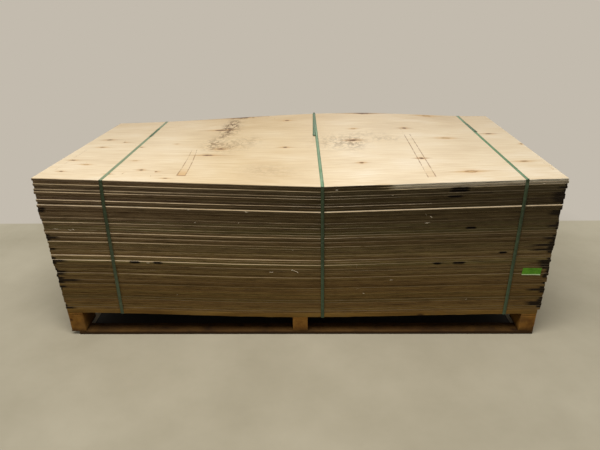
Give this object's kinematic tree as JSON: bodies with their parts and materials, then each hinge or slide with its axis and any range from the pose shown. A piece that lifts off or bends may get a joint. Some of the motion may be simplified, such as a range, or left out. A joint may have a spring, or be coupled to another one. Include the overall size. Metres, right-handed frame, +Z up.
{
  "type": "stack of plywood sheets",
  "caption": "Tall stack of plywood sheets that sag and curl a little, strapped with green plastic bands onto a low block pallet with fork openings on all sides.",
  "frame": {"origin": "on the floor, under the middle of the stack", "axes": "+X along the sheets' length, +Y from the near long side to the far one, +Z up"},
  "size_m": [2.4546, 1.2392, 0.8879],
  "materials": {
    "plywood": "bare softwood plywood, rotary-cut face, sawn edges",
    "pallet_timber": "rough-sawn softwood, dry and a little dirty",
    "strap": "embossed green PET strapping, semi-gloss",
    "sticker": "bright green matte paper sticker",
    "nail_steel": "dull wire nails"
  },
  "bodies": {
    "root": {"block_front_left": "pallet_timber", "block_front_middle": "pallet_timber", "block_front_right": "pallet_timber", "block_middle_left": "pallet_timber", "block_middle_middle": "pallet_timber", "block_middle_right": "pallet_timber", "block_rear_left": "pallet_timber", "block_rear_middle": "pallet_timber", "block_rear_right": "pallet_timber", "bottom_board_front": "pallet_timber", "bottom_board_middle": "pallet_timber", "bottom_board_rear": "pallet_timber", "cross_board_left": "pallet_timber", "cross_board_middle": "pallet_timber", "cross_board_right": "pallet_timber", "deck_board_1": "pallet_timber", "deck_board_2": "pallet_timber", "deck_board_3": "pallet_timber", "deck_board_4": "pallet_timber", "deck_board_5": "pallet_timber", "deck_board_6": "pallet_timber", "deck_board_7": "pallet_timber", "sheet_pack_1": "plywood", "sheet_pack_2": "plywood", "sheet_pack_3": "plywood", "sheet_pack_4": "plywood", "sheet_pack_5": "plywood", "strap_left": "strap", "strap_middle": "strap", "strap_right": "strap", "top_sheet": "plywood"}
  },
  "joints": []
}
